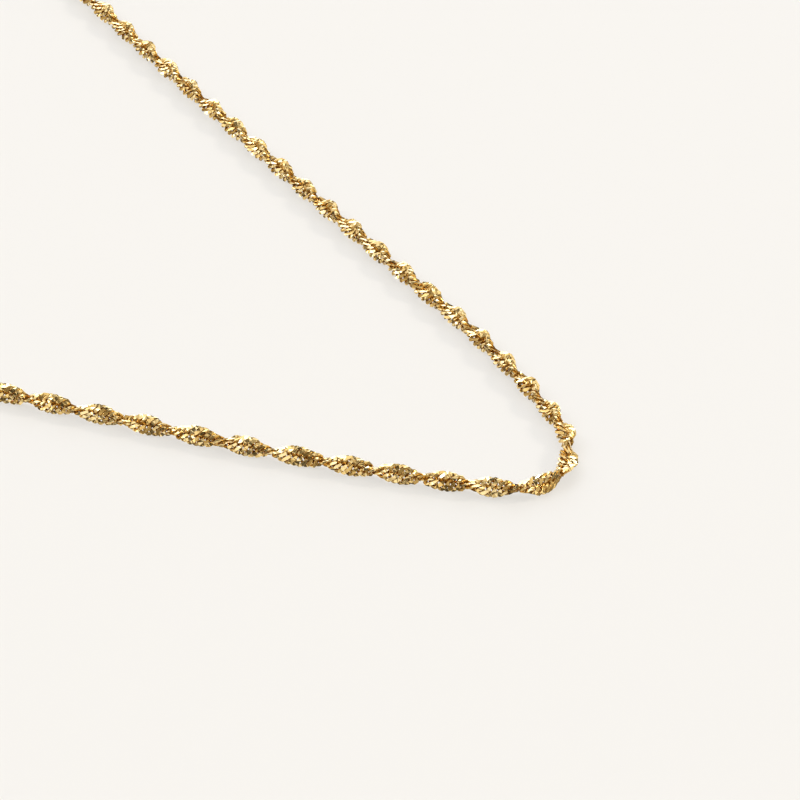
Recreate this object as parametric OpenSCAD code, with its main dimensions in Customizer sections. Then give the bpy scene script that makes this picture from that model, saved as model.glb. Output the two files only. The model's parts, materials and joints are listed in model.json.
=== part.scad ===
/* [Loop] */
// Length once round the necklace, clasp included
loop_len = 450; // [400:10:600]

/* [Band] */
// Width of the flat side of the band of links
band_w = 2; // [1.6:0.1:2.4]
// Thickness of the band of links
band_t = 1.1; // [0.8:0.1:1.3]
// Length in which the band makes half a turn
half_turn_len = 5; // [4:0.25:8]

/* [End eyes and jump rings] */
// Radius of an end eye, to the middle of its wire
eye_r = 0.8; // [0.75:0.05:0.9]
// Wire thickness of the end eyes and the jump rings
wire_d = 0.45; // [0.35:0.05:0.5]
// Radius of a jump ring, to the middle of its wire
ring_r = 1.4; // [1.35:0.05:1.5]
// Lean of the jump rings from upright, in degrees
ring_lean = 30; // [20:1:40]

/* [Clasp] */
// Radius of the clasp ring, to the middle of its tube
clasp_r = 2.3; // [2.2:0.1:3.5]
// Tube thickness of the clasp ring
clasp_d = 1; // [0.8:0.05:1.05]
// Radius of the small eye on the clasp, to the middle of its wire
clasp_eye_r = 0.8; // [0.75:0.05:1]
// Wire thickness of the small eye on the clasp
clasp_eye_d = 0.6; // [0.5:0.05:0.65]

/* [Hidden] */
$fn = 48;

gold = [0.83, 0.66, 0.30];
bright_gold = [0.88, 0.72, 0.38];

// Bends of the front of the loop, from the left straight to the right one.
// Columns: length in mm, turn to the left in degrees, twist beyond the even twist in degrees.
front_bends = [
    [24, 5, -25],
    [10, 5, 40],
    [3, 15, 10],
    [3, 38, 0],
    [4, 40, -45],
    [4, 15, -30],
    [4, 17, 10],
    [24, 9, -10],
    [60, -2, 25]
];

// Outline of the band, as shares of its half width and half thickness
band_outline = [
    [0.95, 0.5], [0.6, 1], [-0.6, 1], [-0.95, 0.5],
    [-0.95, -0.5], [-0.6, -1], [0.6, -1], [0.95, -0.5]
];
sides = len(band_outline);
rings_per_half_turn = 7;
arc_step = 25;
taper_len = 1.2;
start_twist = 144;
clasp_lift = 0.25;

function row_len(row) = row[0];
function row_turn(row) = row[1];
function row_twist(row) = row[2];
function sum(list, i = 0) = i < len(list) ? list[i] + sum(list, i + 1) : 0;

// A place is [x, y, heading]. Going along an arc of a given length and turn gives the next place.
function arc_chord(length, turn) = turn == 0 ? length : length * sin(turn / 2) / (turn * PI / 360);
function go(place, length, turn) = [
    place.x + arc_chord(length, turn) * cos(place.z + turn / 2),
    place.y + arc_chord(length, turn) * sin(place.z + turn / 2),
    place.z + turn
];
function go_rows(place, rows, i = 0) =
    i < len(rows) ? go_rows(go(place, row_len(rows[i]), row_turn(rows[i])), rows, i + 1) : place;

// The two straights lean to the middle line by half the angle that the front bends leave open
front_len = sum([for (row = front_bends) row_len(row)]);
front_turn = sum([for (row = front_bends) row_turn(row)]);
lean = (180 - front_turn) / 2;
front_end = go_rows([0, 0, lean - 90], front_bends);
// From where the straights would cross to the start and the end of the front bends
cross_sum = front_end.x / sin(lean);
cross_diff = front_end.y / cos(lean);
cross_left = (cross_sum - cross_diff) / 2;
cross_right = (cross_sum + cross_diff) / 2;
// The back is an arc that both straights run into without a corner
back_r = (loop_len - front_len + cross_sum) / (PI + lean * PI / 90 + 2 / tan(lean));
straight_left = back_r / tan(lean) - cross_left;
straight_right = back_r / tan(lean) - cross_right;
cross_y = -back_r / sin(lean);

// Heights above the surface that the necklace lies on
band_z = band_w / 2;
clasp_z = wire_d + clasp_lift + clasp_d / 2;
ring_z = ring_r * cos(ring_lean) + wire_d / 2;

// Where a leaning jump ring's wire passes through a flat eye at height z, sideways and forwards
function ring_reach(z) = sqrt(ring_r * ring_r - pow((ring_z - z) / cos(ring_lean), 2));
function ring_shift(z) = (ring_z - z) * tan(ring_lean);

// Pieces at the back, measured from the middle of the clasp ring
hook_slack = 0.35;
right_ring_dx = clasp_r + hook_slack;
right_eye_dx = right_ring_dx + ring_reach(band_z);
clasp_eye_dx = clasp_r + clasp_d / 2 + clasp_eye_r - 0.15;
left_ring_dx = clasp_eye_dx + ring_reach(clasp_z);
left_eye_dx = left_ring_dx + ring_reach(band_z);
eye_x = (left_eye_dx + right_eye_dx) / 2;
clasp_x = (left_eye_dx - right_eye_dx) / 2;

// An end eye is a bend one way and then most of a circle the other way
neck_turn = 60;
neck_r = eye_r * cos(neck_turn) / (1 - cos(neck_turn));
neck_reach = (neck_r + eye_r) * sin(neck_turn);
eye_turn = 290;
neck_len = neck_r * neck_turn * PI / 180;
eye_len = eye_r * eye_turn * PI / 180;
end_angle = asin((eye_x + neck_reach) / back_r);
back_turn = 90 + lean - end_angle;
back_len = back_r * back_turn * PI / 180;

// Whole route of the chain, from the free end of the left eye to that of the right eye
route = concat(
    [
        [eye_len, eye_turn, 0],
        [neck_len, -neck_turn, 0],
        [back_len, back_turn, 0],
        [straight_left, 0, 0]
    ],
    front_bends,
    [
        [straight_right, 0, 0],
        [back_len, back_turn, 0],
        [neck_len, neck_turn, 0],
        [eye_len, -eye_turn, 0]
    ]
);
wire_rows = 2;
wire_len = eye_len + neck_len;
route_len = sum([for (row = route) row_len(row)]);

// Front end of the band in Y, where it runs straight across, and the middle of the whole loop
function lowest(place, rows, i = 0) =
    place.z + row_turn(rows[i]) < 0
        ? lowest(go(place, row_len(rows[i]), row_turn(rows[i])), rows, i + 1)
        : go(place, -place.z * row_len(rows[i]) / row_turn(rows[i]), -place.z).y;
front_y = lowest([0, cross_y + cross_left * cos(lean), lean - 90], front_bends) - band_w / 2;
eye_y = back_r * cos(end_angle) + neck_reach * sin(end_angle);
back_y = eye_y + clasp_r + clasp_d / 2;
mid_y = (front_y + back_y) / 2;

// Start of the route, found by going back round the left eye from where the arc begins
left_arc_start = [-back_r * sin(end_angle), back_r * cos(end_angle) - mid_y, 180 + end_angle];
left_neck_start = go(left_arc_start, -neck_len, neck_turn);
route_start = go(left_neck_start, -eye_len, -eye_turn);

// Places, lengths and twists at the joins between rows
row_places = [for (i = 0, p = route_start; i < len(route);
    p = go(p, row_len(route[i]), row_turn(route[i])), i = i + 1) p];
row_starts = [for (i = 0, s = 0; i < len(route); s = s + row_len(route[i]), i = i + 1) s];
function is_wire(i) = i < wire_rows || i >= len(route) - wire_rows;
function twist_of(i) =
    is_wire(i) ? 0 : row_len(route[i]) * 180 / half_turn_len + row_twist(route[i]);
row_twists = [for (i = 0, t = start_twist; i < len(route); t = t + twist_of(i), i = i + 1) t];

// A station is a place, the twist there, and how far the section has grown from wire to band
function grown(s) = min(1, max(0, (min(s, route_len - s) - wire_len) / taper_len));
function row_steps(i) = max(
    ceil(row_len(route[i]) * (is_wire(i) ? 0 : rings_per_half_turn / half_turn_len)),
    ceil(abs(row_turn(route[i])) / arc_step)
);
stations = [
    for (i = [0 : len(route) - 1])
        for (k = [0 : row_steps(i) - (i == len(route) - 1 ? 0 : 1)])
            let(share = k / row_steps(i))
                concat(
                    go(row_places[i], row_len(route[i]) * share, row_turn(route[i]) * share),
                    [row_twists[i] + twist_of(i) * share, grown(row_starts[i] + row_len(route[i]) * share)]
                )
];

// One corner of the outline, turned by the twist and set across the heading
function corner(station, q) =
    let(
        heading = station[2],
        twist = station[3],
        share = station[4],
        u = q.x * (wire_d + (band_w - wire_d) * share) / 2,
        v = q.y * (wire_d + (band_t - wire_d) * share) / 2,
        across = u * cos(twist) - v * sin(twist),
        up = u * sin(twist) + v * cos(twist)
    )
    [station.x - across * sin(heading), station.y + across * cos(heading), band_z + up];

module chain() {
    corners = [for (station = stations) for (q = band_outline) corner(station, q)];
    last = len(stations) - 1;
    skin = [
        for (i = [0 : last - 1])
            for (k = [0 : sides - 1])
                let(
                    a = i * sides + k,
                    b = i * sides + (k + 1) % sides
                )
                each [[a, a + sides, b], [b, a + sides, b + sides]]
    ];
    start_cap = [for (k = [0 : sides - 1]) k];
    end_cap = [for (k = [sides - 1 : -1 : 0]) last * sides + k];
    color(gold)
        polyhedron(corners, concat(skin, [start_cap, end_cap]), convexity = 10);
}

module round_ring(radius, thickness) {
    rotate_extrude()
        translate([radius, 0])
            circle(d = thickness);
}

// A jump ring leans back from upright about the line from one eye to the other
module jump_ring(dx) {
    color(bright_gold)
        translate([clasp_x + dx, eye_y - mid_y + (ring_shift(clasp_z) + ring_shift(band_z)) / 2, ring_z])
            rotate([90 - ring_lean, 0, 0])
                round_ring(ring_r, wire_d);
}

module jump_ring_left() {
    jump_ring(-left_ring_dx);
}

module jump_ring_right() {
    jump_ring(right_ring_dx);
}

module clasp() {
    color(bright_gold)
        translate([clasp_x, eye_y - mid_y, clasp_z]) {
            round_ring(clasp_r, clasp_d);
            translate([-clasp_eye_dx, 0, 0])
                round_ring(clasp_eye_r, clasp_eye_d);
        }
}

chain();
jump_ring_left();
jump_ring_right();
clasp();
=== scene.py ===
import json
from math import asin, atan2, copysign, cos, degrees, hypot, pi, radians, sin, tan
from random import Random

import bmesh
import bpy
from mathutils import Matrix, Quaternion, Vector

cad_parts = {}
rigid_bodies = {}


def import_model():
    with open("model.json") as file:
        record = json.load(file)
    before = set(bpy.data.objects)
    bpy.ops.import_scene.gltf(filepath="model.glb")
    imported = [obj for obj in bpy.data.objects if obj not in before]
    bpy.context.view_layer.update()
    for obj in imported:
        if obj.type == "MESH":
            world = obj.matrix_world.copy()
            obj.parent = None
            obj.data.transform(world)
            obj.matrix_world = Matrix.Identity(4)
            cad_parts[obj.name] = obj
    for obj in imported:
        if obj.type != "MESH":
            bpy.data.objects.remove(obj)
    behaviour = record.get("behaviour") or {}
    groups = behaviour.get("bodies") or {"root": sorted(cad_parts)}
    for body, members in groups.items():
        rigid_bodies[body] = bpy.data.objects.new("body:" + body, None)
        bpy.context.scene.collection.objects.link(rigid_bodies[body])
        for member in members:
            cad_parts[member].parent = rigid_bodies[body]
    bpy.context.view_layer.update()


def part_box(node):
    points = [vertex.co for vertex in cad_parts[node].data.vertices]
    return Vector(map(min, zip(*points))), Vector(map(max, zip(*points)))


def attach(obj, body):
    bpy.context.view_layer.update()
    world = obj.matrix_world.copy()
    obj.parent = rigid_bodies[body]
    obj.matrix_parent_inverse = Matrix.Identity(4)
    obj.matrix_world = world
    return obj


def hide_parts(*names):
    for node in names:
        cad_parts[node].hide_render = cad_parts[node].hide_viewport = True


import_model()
mm = 0.001
mergeDistance = 1e-7
placeDigits = 7
print("frame loaded")


# Small helpers

def linearColour(hexColour):
    values = [int(hexColour[i:i + 2], 16) / 255 for i in (1, 3, 5)]
    return [v / 12.92 if v <= 0.04045 else ((v + 0.055) / 1.055) ** 2.4 for v in values] + [1]


def addNode(tree, kind, inputs=None, **settings):
    node = tree.nodes.new(kind)
    for name, value in settings.items():
        setattr(node, name, value)
    for name, value in (inputs or {}).items():
        if isinstance(value, bpy.types.NodeSocket):
            tree.links.new(value, node.inputs[name])
        else:
            node.inputs[name].default_value = value
    return node


def newObject(name, mesh, material=None):
    piece = bpy.data.objects.new(name, mesh)
    bpy.context.scene.collection.objects.link(piece)
    if material:
        mesh.materials.clear()
        mesh.materials.append(material)
    return piece


def mixColours(tree, first, second, share):
    # Sockets 6 and 7 of a Mix node are its two colours, and 0 is how far it goes to the second
    return addNode(tree, "ShaderNodeMix", {6: first, 7: second, 0: share}, data_type="RGBA").outputs[2]


def mapRange(tree, value, toMin=0.0, toMax=1.0, fromEdges=(0.0, 1.0), **settings):
    fromMin, fromMax = fromEdges
    ends = {"Value": value, "From Min": fromMin, "From Max": fromMax, "To Min": toMin, "To Max": toMax}
    return addNode(tree, "ShaderNodeMapRange", ends, **settings).outputs["Result"]


def noiseOf(tree, place, scale, detail):
    noise = addNode(tree, "ShaderNodeTexNoise", {"Vector": place, "Scale": scale, "Detail": detail})
    return noise.outputs["Fac"]


def plainMesh(bm, name):
    mesh = bpy.data.meshes.new(name)
    bm.to_mesh(mesh)
    bm.free()
    return mesh


def inFixedOrder(bm, digits):
    # Spin leaves its faces in an order that changes from run to run. This copy is sorted by place, so that
    # the cuts, the random draws and the splits of faces that follow come out the same each time.
    verts = sorted(bm.verts, key=lambda vert: [round(part, digits) for part in vert.co])
    numbers = {vert: number for number, vert in enumerate(verts)}
    rows = []
    for face in bm.faces:
        row = [numbers[vert] for vert in face.verts]
        start = row.index(min(row))
        rows.append(row[start:] + row[:start])
    copy = bmesh.new()
    made = [copy.verts.new(vert.co) for vert in verts]
    for row in sorted(rows):
        copy.faces.new([made[number] for number in row])
    bm.free()
    copy.normal_update()
    return copy


def smoothMesh(bm, name):
    bmesh.ops.remove_doubles(bm, verts=bm.verts, dist=mergeDistance)
    bmesh.ops.recalc_face_normals(bm, faces=bm.faces)
    bm = inFixedOrder(bm, placeDigits)
    for face in bm.faces:
        face.smooth = True
    return plainMesh(bm, name)


def edgesIn(items):
    return [item for item in items if isinstance(item, bmesh.types.BMEdge)]


def middle(node):
    low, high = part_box(node)
    return (Vector(low) + Vector(high)) / 2


# Route of the chain over the surface. Lengths in mm, turns to the left in degrees.
# A bend is its length, its turn, and its twist beyond the even twist.

route = {
    "loopLength": 450,
    "halfTurn": 5,
    "startTwist": 144,
    "height": 1,
    "frontBends": [
        (24, 5, -25),
        (10, 5, 40),
        (3, 15, 10),
        (3, 38, 0),
        (4, 40, -45),
        (4, 15, -30),
        (4, 17, 10),
        (24, 9, -10),
        (60, -2, 25),
    ],
}
findings = {
    "wire": 0.45,
    "eyeRadius": 0.8,
    "eyeTurn": 290,
    "neckTurn": 60,
    "ringRadius": 1.4,
    "ringLean": 30,
    "claspRadius": 2.3,
    "claspTube": 1,
    "claspEyeRadius": 0.8,
    "claspEyeWire": 0.6,
}


def go(place, length, turn):
    x, y, heading = place
    half = radians(turn / 2)
    chord = length if turn == 0 else length * sin(half) / half
    way = radians(heading) + half
    return x + chord * cos(way), y + chord * sin(way), heading + turn


def ringReach(height):
    lean = radians(findings["ringLean"])
    rise = (middle("jump_ring_left").z / mm - height) / cos(lean)
    return (findings["ringRadius"] ** 2 - rise ** 2) ** 0.5


def layRoute():
    bends = route["frontBends"]
    frontLength = sum(length for length, turn, extra in bends)
    leanTurn = (180 - sum(turn for length, turn, extra in bends)) / 2
    lean = radians(leanTurn)
    front = (0, 0, leanTurn - 90)
    for length, turn, extra in bends:
        front = go(front, length, turn)
    crossSum = front[0] / sin(lean)
    crossDiff = front[1] / cos(lean)
    backRadius = (route["loopLength"] - frontLength + crossSum) / (pi + 2 * lean + 2 / tan(lean))
    straightLeft = backRadius / tan(lean) - (crossSum - crossDiff) / 2
    straightRight = backRadius / tan(lean) - (crossSum + crossDiff) / 2

    eyeX = (middle("jump_ring_right").x - middle("jump_ring_left").x) / 2 / mm + ringReach(route["height"])
    neck = radians(findings["neckTurn"])
    neckRadius = findings["eyeRadius"] * cos(neck) / (1 - cos(neck))
    neckReach = (neckRadius + findings["eyeRadius"]) * sin(neck)
    endAngle = asin((eyeX + neckReach) / backRadius)
    backTurn = 90 + leanTurn - degrees(endAngle)
    backLength = backRadius * radians(backTurn)
    start = (
        -backRadius * sin(endAngle),
        middle("clasp").y / mm - neckReach * sin(endAngle),
        180 + degrees(endAngle),
    )
    rows = [(backLength, backTurn, 0), (straightLeft, 0, 0), *bends, (straightRight, 0, 0),
            (backLength, backTurn, 0)]
    return start, rows, neckRadius


bandStart, bandRows, neckRadius = layRoute()
bandLength = sum(length for length, turn, extra in bandRows)


def placeAt(distance):
    place, twist = bandStart, route["startTwist"]
    for length, turn, extra in bandRows:
        share = min(1, distance / length)
        place = go(place, length * share, turn * share)
        twist += (length * 180 / route["halfTurn"] + extra) * share
        distance -= length
        if distance <= 0:
            break
    return place, twist


# Materials. All sizes in mm, as real as the surface they describe.
# Both golds are polished yellow metal. A slow cloud and each link's own tone move the colour between
# a paler and a deeper yellow, so that no two links look alike. A finer cloud changes the polish, which
# gives the slightly hazy patches of worn gold, and a fine low bump gives the marks of wear and cutting.
# "cut" is 1 on the faces that the diamond tool left bright. The drawn wire between them is rougher, and is
# painted browner as shade, which gives the dark lines of painted shade between the bright facets.

gold = {
    "lightHex": "#F8E0A9",
    "deepHex": "#F0CA7E",
    # the browner colour of the drawn wire is painted shade between the facets
    "wireShadeHex": "#D6B26E",
    "toneSize": 1.6,
    "toneDetail": 3.0,
    "linkTone": 0.35,
    "polishSize": 0.25,
    "polishDetail": 4.0,
    "polishEdges": (0.3, 0.7),
    "roughness": (0.09, 0.17),
    "wireRoughness": 0.12,
    "scratchSize": 0.09,
    "scratchDetail": 2.0,
    "scratchDepth": 0.004,
    "scratchStrength": 0.5,
}


def makeGold(name, polish, wire, spread):
    material = bpy.data.materials.new(name)
    material.use_nodes = True
    tree = material.node_tree
    tree.nodes.clear()
    place = addNode(tree, "ShaderNodeTexCoord").outputs["Object"]
    cloud = noiseOf(tree, place, 1 / (gold["toneSize"] * mm), gold["toneDetail"])
    tone = addNode(tree, "ShaderNodeAttribute", attribute_name="tone").outputs["Fac"]
    shift = mapRange(tree, tone, -spread, spread)
    paler = addNode(tree, "ShaderNodeMath", {0: cloud, 1: shift}).outputs[0]
    colour = mixColours(tree, linearColour(gold["deepHex"]), linearColour(gold["lightHex"]), paler)
    cut = addNode(tree, "ShaderNodeAttribute", attribute_name="cut").outputs["Fac"]
    # 1 on the drawn wire between the facets: there it paints shade as a browner colour and makes the wire
    #                                         rougher
    uncutAndShaded = mapRange(tree, cut, wire, 0.0)
    colour = mixColours(tree, colour, linearColour(gold["wireShadeHex"]), uncutAndShaded)
    haze = noiseOf(tree, place, 1 / (gold["polishSize"] * mm), gold["polishDetail"])
    low, high = gold["roughness"]
    rough = mapRange(tree, haze, low * polish, high * polish, gold["polishEdges"])
    rough = addNode(tree, "ShaderNodeMath", {0: uncutAndShaded, 1: gold["wireRoughness"], 2: rough},
                    operation="MULTIPLY_ADD").outputs[0]
    scratch = noiseOf(tree, place, 1 / (gold["scratchSize"] * mm), gold["scratchDetail"])
    bump = addNode(tree, "ShaderNodeBump",
                   {"Height": scratch, "Distance": gold["scratchDepth"] * mm,
                    "Strength": gold["scratchStrength"]})
    shader = addNode(tree, "ShaderNodeBsdfPrincipled",
                     {"Base Color": colour, "Metallic": 1.0, "Roughness": rough,
                      "Normal": bump.outputs["Normal"]})
    addNode(tree, "ShaderNodeOutputMaterial", {"Surface": shader.outputs["BSDF"]})
    return material


# Gold of the chain: bright cut facets between stretches of drawn wire, browned by painted shade
linkGold = makeGold("diamondCutGold", polish=1.0, wire=1.0, spread=gold["linkTone"])
# Gold of the clasp, the jump rings and the end eyes: buffed all over, a little smoother, one even tone
findingGold = makeGold("polishedGold", polish=0.8, wire=0.0, spread=0.0)


# Links of the chain. One link is an oval of drawn wire, twisted a little against the twist of the band,
# so that each passes through its neighbours. Cuts by flat planes leave its two broad sides as bright
# flats, and small shifts of the corners give the uneven facets of a diamond-cut chain.
# Several differing links are made once and set out on stations along the route.
# Pairs of wire sizes are half thicknesses, in the plane of the link and across it: at the two bows, on the
# slanting strands, and at the outer edges. A cut is a plane at a height, tilted by up to so many degrees.
# The sloping cuts start further out and take the edges down.

link = {
    "perHalfTurn": 10,
    "firstAt": 0.7,
    "reach": 0.65,
    "halfWidth": 0.82,
    "twist": 26,
    "bowWire": (0.155, 0.145),
    "strandWire": (0.235, 0.185),
    "edgeWire": (0.18, 0.24),
    "strandPower": 0.6,
    "tangentStep": 0.12,
    "roundRadius": 10,
    "roundDigits": 3,
    "ringSteps": 12,
    "wireSides": 6,
    "cutHeight": 0.235,
    "cutTilt": 13,
    "cutDepth": 0.02,
    "cutSnap": 1e-5,
    "slopeFrom": 0.5,
    "slope": 15,
    "hammer": 0.036,
    "edgeFrom": 0.6,
    "edgePolish": 0.9,
    "wobble": 7,
    "variants": 14,
    "seed": 7,
}
link["pitch"] = route["halfTurn"] / link["perHalfTurn"]


def linkCentre(angle):
    return Vector((link["reach"] * cos(angle), link["halfWidth"] * sin(angle)))


def wireHalves(angle):
    strand = abs(sin(2 * angle)) ** link["strandPower"]
    edge = (1 - strand) * sin(angle) ** 2
    bow = 1 - strand - edge
    sizes = zip(link["bowWire"], link["strandWire"], link["edgeWire"])
    return [bow * atBow + strand * onStrand + edge * atEdge for atBow, onStrand, atEdge in sizes]


def bendToLink(bm):
    # The ring starts round and large, and each of its points moves to its place on the link
    step = link["tangentStep"]
    for vert in bm.verts:
        x, y, z = vert.co
        angle = atan2(y, x)
        inPlane, across = wireHalves(angle)
        along = linkCentre(angle + step) - linkCentre(angle - step)
        normal = Vector((along.y, -along.x)).normalized()
        point = linkCentre(angle) + normal * inPlane * (hypot(x, y) - link["roundRadius"])
        point = Vector((point.x, point.y, across * z))
        vert.co = Matrix.Rotation(-radians(link["twist"]) * point.x / link["reach"], 3, "X") @ point


def cutFlats(bm, random):
    flats = []
    for up, side in ((1, 0), (-1, 0), (1, 1), (1, -1), (-1, 1), (-1, -1)):
        height = link["cutHeight"] + random.uniform(-1, 1) * link["cutDepth"]
        slope = radians(link["slope"]) * abs(side)
        facing = Vector((0, side * sin(slope), up * cos(slope)))
        for axis in "XY":
            tilt = radians(random.uniform(-1, 1) * link["cutTilt"])
            facing.rotate(Matrix.Rotation(tilt, 3, axis))
        geometry = list(bm.verts) + list(bm.edges) + list(bm.faces)
        cut = bmesh.ops.bisect_plane(bm, geom=geometry, dist=link["cutSnap"], clear_outer=True,
                                     plane_co=(0, side * link["slopeFrom"], up * height), plane_no=facing)
        flats += bmesh.ops.edgeloop_fill(bm, edges=edgesIn(cut["geom_cut"]))["faces"]
    return [face for face in flats if face.is_valid]


def makeLink(name, random):
    bm = bmesh.new()
    section = Matrix.Translation((link["roundRadius"], 0, 0)) @ Matrix.Rotation(pi / 2, 4, "X")
    circle = bmesh.ops.create_circle(bm, segments=link["wireSides"], radius=1, matrix=section)
    geometry = circle["verts"] + list(bm.edges)
    bmesh.ops.spin(bm, geom=geometry, cent=(0, 0, 0), axis=(0, 0, 1), angle=2 * pi,
                   steps=link["ringSteps"], use_merge=True)
    bm = inFixedOrder(bm, link["roundDigits"])
    cutLayer = bm.faces.layers.float.new("cut")
    bendToLink(bm)
    flats = cutFlats(bm, random)
    for face in bm.faces:
        middleOfFace = face.calc_center_median()
        outward = face.normal.y * copysign(1, middleOfFace.y)
        if face in flats:
            face[cutLayer] = 1.0
        # outward faces at the outer edges take only a little of the painted shade of the wire, and most of
        # the polish
        elif abs(middleOfFace.y) > link["edgeFrom"] and outward > 0:
            face[cutLayer] = link["edgePolish"]
    bmesh.ops.triangulate(bm, faces=flats, quad_method="BEAUTY", ngon_method="BEAUTY")
    for vert in bm.verts:
        vert.co.z += random.uniform(-1, 1) * link["hammer"]
    bmesh.ops.scale(bm, vec=(mm, mm, mm), verts=bm.verts)
    bmesh.ops.recalc_face_normals(bm, faces=bm.faces)
    for face in bm.faces:
        face.smooth = False
    return plainMesh(bm, name)


def makeLinkStations():
    count = int((bandLength - 2 * link["firstAt"]) / link["pitch"]) + 1
    first = (bandLength - (count - 1) * link["pitch"]) / 2
    random = Random(link["seed"])
    bm = bmesh.new()
    turns, kinds, tones = [], [], []
    for i in range(count):
        (x, y, heading), twist = placeAt(first + i * link["pitch"])
        bm.verts.new(Vector((x, y, route["height"])) * mm)
        turn = Quaternion((0, 0, 1), radians(heading)) @ Quaternion((1, 0, 0), radians(twist))
        axis = Vector([random.gauss(0, 1) for part in range(3)]).normalized()
        turns.extend(turn @ Quaternion(axis, radians(link["wobble"]) * random.uniform(-1, 1)))
        kinds.append(random.randrange(link["variants"]))
        tones.append(random.random())
    mesh = plainMesh(bm, "linkStations")
    mesh.attributes.new("turn", "QUATERNION", "POINT").data.foreach_set("value", turns)
    mesh.attributes.new("kind", "INT", "POINT").data.foreach_set("value", kinds)
    mesh.attributes.new("tone", "FLOAT", "POINT").data.foreach_set("value", tones)
    return mesh


def makeLinksOnStations():
    shapes = bpy.data.collections.new("linkShapes")
    random = Random(link["seed"])
    for i in range(link["variants"]):
        mesh = makeLink(f"linkShape{i:02d}", random)
        shapes.objects.link(bpy.data.objects.new(mesh.name, mesh))

    tree = bpy.data.node_groups.new("linksOnStations", "GeometryNodeTree")
    tree.interface.new_socket("Geometry", in_out="INPUT", socket_type="NodeSocketGeometry")
    tree.interface.new_socket("Geometry", in_out="OUTPUT", socket_type="NodeSocketGeometry")
    points = addNode(tree, "NodeGroupInput").outputs["Geometry"]
    shapeList = addNode(tree, "GeometryNodeCollectionInfo",
                        {"Collection": shapes, "Separate Children": True, "Reset Children": True})
    turn = addNode(tree, "GeometryNodeInputNamedAttribute", {"Name": "turn"}, data_type="QUATERNION")
    kind = addNode(tree, "GeometryNodeInputNamedAttribute", {"Name": "kind"}, data_type="INT")
    placed = addNode(tree, "GeometryNodeInstanceOnPoints",
                     {"Points": points, "Instance": shapeList.outputs["Instances"],
                      "Pick Instance": True, "Instance Index": kind.outputs["Attribute"],
                      "Rotation": turn.outputs["Attribute"]})
    realized = addNode(tree, "GeometryNodeRealizeInstances", {"Geometry": placed.outputs["Instances"]})
    addNode(tree, "NodeGroupOutput", {"Geometry": realized.outputs["Geometry"]})

    carrier = newObject("linkCarrier", makeLinkStations())
    carrier.modifiers.new("links", "NODES").node_group = tree
    graph = bpy.context.evaluated_depsgraph_get()
    mesh = bpy.data.meshes.new_from_object(carrier.evaluated_get(graph), depsgraph=graph)
    mesh.name = "chainLinks"
    for name in ("turn", "kind"):
        if name in mesh.attributes:
            mesh.attributes.remove(mesh.attributes[name])
    bpy.data.objects.remove(carrier)
    for item in list(shapes.objects):
        bpy.data.objects.remove(item)
    bpy.data.collections.remove(shapes)
    return newObject("chainLinks", mesh, linkGold)


chainLinks = makeLinksOnStations()
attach(chainLinks, "root")
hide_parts("chain")
print("links placed", len(chainLinks.data.polygons), "faces")


# Wire eyes at the two ends of the chain, each with a flattened solder cap over the last links.
# A row of the cap is its distance along the chain, half width and half thickness. The free end of the
# wire is rounded off in steps, each at a share of the wire's radius.

ends = {
    "wireSides": 12,
    "neckSteps": 8,
    "eyeSteps": 40,
    "roundShares": (0.5, 0.85, 1.0),
    "roundLimit": 0.98,
    "capSides": 20,
    "capRows": [
        (-0.42, 0.2, 0.2), (-0.36, 0.27, 0.27), (-0.2, 0.31, 0.3), (0.0, 0.38, 0.34), (0.2, 0.52, 0.4),
        (0.42, 0.68, 0.46), (0.66, 0.76, 0.48), (0.88, 0.74, 0.46), (1.04, 0.62, 0.38), (1.12, 0.4, 0.25),
    ],
}


def wireCircle(bm, radius, sides, matrix):
    made = bmesh.ops.create_circle(bm, segments=sides, radius=radius * mm, matrix=matrix)
    verts = made["verts"]
    return list(dict.fromkeys(edge for vert in verts for edge in vert.link_edges))


def sweepRound(bm, loop, centre, degreesTurned, steps):
    turned = bmesh.ops.spin(bm, geom=loop, cent=centre, axis=(0, 0, 1), angle=radians(degreesTurned),
                            steps=steps)
    return edgesIn(turned["geom_last"])


def roundOff(bm, loop, way, radius):
    centre = sum((vert.co for edge in loop for vert in edge.verts), Vector()) / (2 * len(loop))
    covered = 0
    for share in ends["roundShares"]:
        step = bmesh.ops.extrude_edge_only(bm, edges=loop)["geom"]
        verts = [item for item in step if isinstance(item, bmesh.types.BMVert)]
        loop = edgesIn(step)
        size = max((vert.co - centre - way * (vert.co - centre).dot(way)).length for vert in verts)
        narrow = radius * cos(asin(min(share, ends["roundLimit"]))) / size
        for vert in verts:
            along = way * (vert.co - centre).dot(way)
            vert.co = centre + along + (vert.co - centre - along) * narrow + way * radius * (share - covered)
        covered = share
    bmesh.ops.edgeloop_fill(bm, edges=loop)


def placeVector(place):
    return Vector((place[0], place[1], route["height"])) * mm


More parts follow.
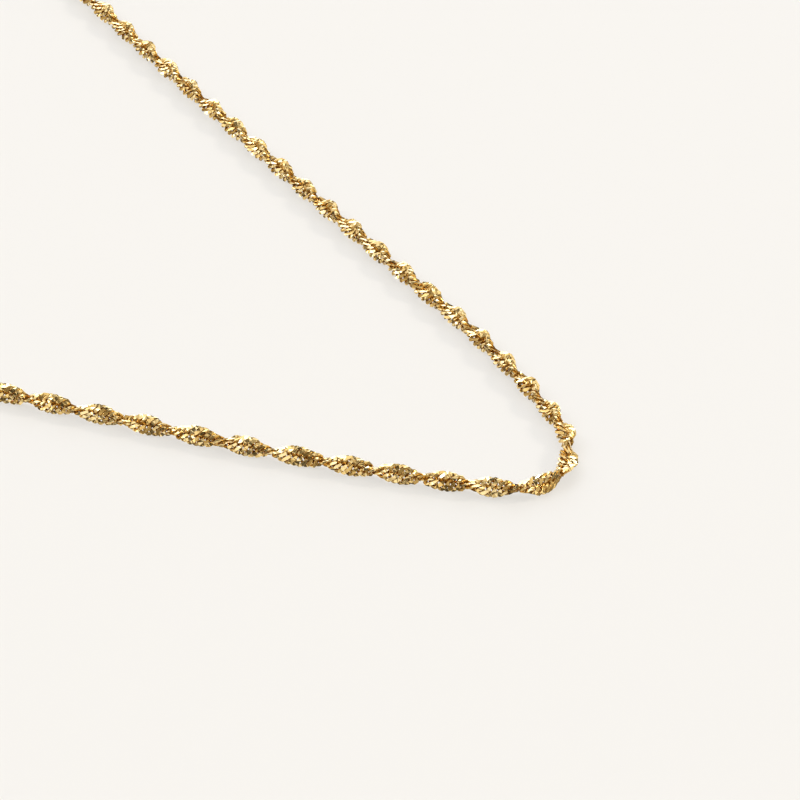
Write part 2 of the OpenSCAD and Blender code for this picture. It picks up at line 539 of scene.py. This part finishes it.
def makeChainEnd(name, place, hand, twist):
    # With hand 1 this is the start of the route: the way out is backwards, and the neck bends to its left.
    # With hand -1 it is the far end, as a mirror image.
    heading = radians(place[2]) + (pi if hand > 0 else 0)
    across = Vector((-sin(heading), cos(heading), 0))
    start = placeVector(place)
    upright = Matrix.Translation(start) @ Matrix.Rotation(heading, 4, "Z") @ Matrix.Rotation(pi / 2, 4, "Y")
    bm = bmesh.new()
    loop = wireCircle(bm, findings["wire"] / 2, ends["wireSides"], upright)
    bmesh.ops.edgeloop_fill(bm, edges=loop)
    neckCentre = start + across * hand * neckRadius * mm
    loop = sweepRound(bm, loop, neckCentre, hand * findings["neckTurn"], ends["neckSteps"])
    turned = heading + radians(hand * findings["neckTurn"])
    neckEnd = neckCentre + Vector((sin(turned), -cos(turned), 0)) * hand * neckRadius * mm
    eyeCentre = neckEnd + Vector((sin(turned), -cos(turned), 0)) * hand * findings["eyeRadius"] * mm
    loop = sweepRound(bm, loop, eyeCentre, -hand * findings["eyeTurn"], ends["eyeSteps"])
    turned -= radians(hand * findings["eyeTurn"])
    roundOff(bm, loop, Vector((cos(turned), sin(turned), 0)), findings["wire"] / 2 * mm)

    loop = None
    for distance, wide, thick in ends["capRows"]:
        spot = upright @ Matrix.Translation((0, 0, -distance * mm)) @ Matrix.Rotation(twist, 4, "Z")
        ring = wireCircle(bm, 1, ends["capSides"], spot @ Matrix.Diagonal((thick, wide, 1, 1)))
        if loop:
            bmesh.ops.bridge_loops(bm, edges=loop + ring)
        else:
            bmesh.ops.edgeloop_fill(bm, edges=ring)
        loop = ring
    bmesh.ops.edgeloop_fill(bm, edges=loop)
    piece = newObject(name, smoothMesh(bm, name), findingGold)
    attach(piece, "root")
    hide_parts("chain")


makeChainEnd("leftEye", bandStart, 1, radians(route["startTwist"]))
endPlace, endTwist = placeAt(bandLength)
makeChainEnd("rightEye", endPlace, -1, radians(endTwist))
print("chain ends made")


# Jump rings and clasp. Each jump ring has a slightly raised soldered seam. The clasp is one plain ring
# with a small eye soldered to it.

rings = {
    "wireSides": 14,
    "steps": 72,
    "seamAt": 200,
    "seamWidth": 7,
    "seamRise": 0.14,
    "claspSides": 24,
    "claspSteps": 96,
    "claspEyeSides": 16,
    "claspEyeSteps": 48,
    "jointSize": (0.22, 0.56, 0.38),
    "jointSegments": (24, 16),
}


def roundRing(bm, radius, thickness, sides, steps, centre, seam=None):
    upright = Matrix.Translation(centre + Vector((radius * mm, 0, 0))) @ Matrix.Rotation(pi / 2, 4, "X")
    loop = wireCircle(bm, thickness / 2, sides, upright)
    before = set(bm.verts)
    verts = {vert for edge in loop for vert in edge.verts}
    bmesh.ops.spin(bm, geom=loop, cent=centre, axis=(0, 0, 1), angle=2 * pi, steps=steps, use_merge=True)
    verts |= {vert for vert in bm.verts if vert not in before}
    if seam:
        for vert in verts:
            arm = vert.co - centre
            angle = degrees(atan2(arm.y, arm.x)) % 360
            middleOfWire = centre + Vector((arm.x, arm.y, 0)).normalized() * radius * mm
            off = (angle - seam["seamAt"]) / seam["seamWidth"]
            rise = 1 + seam["seamRise"] * max(0, 1 - off * off)
            vert.co = middleOfWire + (vert.co - middleOfWire) * rise


def makeJumpRing(node, name):
    bm = bmesh.new()
    roundRing(bm, findings["ringRadius"], findings["wire"], rings["wireSides"], rings["steps"],
              Vector(), seam=rings)
    stand = Matrix.Translation(middle(node)) @ Matrix.Rotation(radians(90 - findings["ringLean"]), 4, "X")
    bmesh.ops.transform(bm, matrix=stand, verts=bm.verts)
    piece = newObject(name, smoothMesh(bm, name), findingGold)
    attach(piece, "root")
    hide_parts(node)


def makeClasp():
    low, high = [Vector(corner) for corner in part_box("clasp")]
    outer = (findings["claspRadius"] + findings["claspTube"] / 2) * mm
    centre = Vector((high.x - outer, (low.y + high.y) / 2, (low.z + high.z) / 2))
    eyeOut = (findings["claspEyeRadius"] + findings["claspEyeWire"] / 2) * mm
    eyeCentre = Vector((low.x + eyeOut, centre.y, centre.z))
    bm = bmesh.new()
    roundRing(bm, findings["claspRadius"], findings["claspTube"],
              rings["claspSides"], rings["claspSteps"], centre)
    roundRing(bm, findings["claspEyeRadius"], findings["claspEyeWire"],
              rings["claspEyeSides"], rings["claspEyeSteps"], eyeCentre)
    around, upwards = rings["jointSegments"]
    joint = Matrix.Translation(centre - Vector((outer, 0, 0))) @ Matrix.Diagonal((*rings["jointSize"], 1))
    bmesh.ops.create_uvsphere(bm, u_segments=around, v_segments=upwards, radius=mm, matrix=joint)
    piece = newObject("claspRing", smoothMesh(bm, "claspRing"), findingGold)
    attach(piece, "root")
    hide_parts("clasp")


makeJumpRing("jump_ring_left", "leftJumpRing")
makeJumpRing("jump_ring_right", "rightJumpRing")
makeClasp()
print("rings and clasp made")


# Floor, light and camera. The chain has to mirror a room: soft patches of light and dark all round, which
# make neighbouring facets bright or dark, two softboxes, and a low sun for small glints and the shadow.
# The floor is card that glows a little, so that it stays as pale and even as a lit studio table.
# Softboxes and dim spots are rows of: degrees round from the camera, degrees up, inner and outer
# edge in degrees, and strength or share taken away.

view = {
    "azimuth": -48.07,
    "elevation": 31.24,
    "target": (1.17, -73.26, 1.0),
    "distance": 566.8,
    "lens": 266.6,
    "sensor": 36,
    "clip": (0.05, 10),
}
studio = {
    "keyAround": 103,
    "keyElevation": 37,
    "keyStrength": 1.1,
    "keyAngle": 11,
    "base": (0.09, 1.25),
    "roomScale": 3.4,
    "roomDetail": 2.0,
    "roomEdges": (0.45, 0.57),
    "panels": [
        (184, 30, 18, 32, 2.3),
        (-80, 48, 6, 22, 3.2),
    ],
    "dimSpots": [
        (50, 5, 8, 22, 0.5),
        (0, -90, 65, 95, 0.2),
        (-75, -18, 15, 38, 0.15),
    ],
    "dimHex": "#FFF8EA",
    "brightHex": "#DDE8FF",
    "tintRange": (0.5, 1.8),
    "floorSize": 3,
    "cardHex": "#847D73",
    "cardRoughness": 0.9,
    "glowHex": "#F2F1ED",
    "cardGlow": 0.588,
}


def direction(azimuth, elevation):
    a, e = radians(azimuth), radians(elevation)
    return Vector((sin(a) * cos(e), -cos(a) * cos(e), sin(e)))


def placeCamera():
    data = bpy.data.cameras.new("camera")
    data.lens = view["lens"]
    data.sensor_width = view["sensor"]
    data.clip_start, data.clip_end = view["clip"]
    camera = bpy.data.objects.new("camera", data)
    bpy.context.scene.collection.objects.link(camera)
    back = direction(view["azimuth"], view["elevation"])
    camera.location = (Vector(view["target"]) + back * view["distance"]) * mm
    camera.rotation_euler = (-back).to_track_quat("-Z", "Y").to_euler()
    bpy.context.scene.camera = camera


def placeKey():
    data = bpy.data.lights.new("keyLight", "SUN")
    data.energy = studio["keyStrength"]
    data.angle = radians(studio["keyAngle"])
    lamp = bpy.data.objects.new("keyLight", data)
    bpy.context.scene.collection.objects.link(lamp)
    way = direction(view["azimuth"] + studio["keyAround"], studio["keyElevation"])
    lamp.location = way
    lamp.rotation_euler = (-way).to_track_quat("-Z", "Y").to_euler()


def glowTowards(tree, sight, around, elevation, inner, outer):
    middleOfSpot = direction(view["azimuth"] + around, elevation)
    facing = addNode(tree, "ShaderNodeVectorMath", {0: sight, 1: middleOfSpot}, operation="DOT_PRODUCT")
    edges = (cos(radians(outer)), cos(radians(inner)))
    return mapRange(tree, facing.outputs["Value"], fromEdges=edges, interpolation_type="SMOOTHSTEP")


def makeWorld():
    world = bpy.data.worlds.new("studio")
    world.use_nodes = True
    tree = world.node_tree
    tree.nodes.clear()
    sight = addNode(tree, "ShaderNodeTexCoord").outputs["Generated"]
    room = noiseOf(tree, sight, studio["roomScale"], studio["roomDetail"])
    lit = mapRange(tree, room, *studio["base"], studio["roomEdges"])
    for *spot, share in studio["dimSpots"]:
        keep = mapRange(tree, glowTowards(tree, sight, *spot), 1.0, 1 - share)
        lit = addNode(tree, "ShaderNodeMath", {0: lit, 1: keep}, operation="MULTIPLY").outputs[0]
    for *spot, strength in studio["panels"]:
        panel = glowTowards(tree, sight, *spot)
        lit = addNode(tree, "ShaderNodeMath", {0: panel, 1: strength, 2: lit},
                      operation="MULTIPLY_ADD").outputs[0]
    bright = mapRange(tree, lit, fromEdges=studio["tintRange"])
    tint = mixColours(tree, linearColour(studio["dimHex"]), linearColour(studio["brightHex"]), bright)
    glow = addNode(tree, "ShaderNodeBackground", {"Color": tint, "Strength": lit})
    addNode(tree, "ShaderNodeOutputWorld", {"Surface": glow.outputs[0]})
    bpy.context.scene.world = world


def makeFloor():
    bm = bmesh.new()
    bmesh.ops.create_grid(bm, x_segments=1, y_segments=1, size=studio["floorSize"])
    # Matte card: one even colour, with a glow of its own that keeps the shadows light
    material = bpy.data.materials.new("matteCard")
    material.use_nodes = True
    tree = material.node_tree
    tree.nodes.clear()
    shader = addNode(tree, "ShaderNodeBsdfPrincipled",
                     {"Base Color": linearColour(studio["cardHex"]), "Roughness": studio["cardRoughness"],
                      "Emission Color": linearColour(studio["glowHex"]),
                      "Emission Strength": studio["cardGlow"]})
    addNode(tree, "ShaderNodeOutputMaterial", {"Surface": shader.outputs["BSDF"]})
    floor = newObject("floor", smoothMesh(bm, "floor"), material)
    # Left out of reflections, so that the gold mirrors the dark underside of the room and keeps its contrast
    floor.visible_glossy = False


placeCamera()
placeKey()
makeWorld()
makeFloor()
bpy.context.scene.view_settings.view_transform = "Standard"
bpy.context.scene.view_settings.look = "Medium High Contrast"
print("stage set")
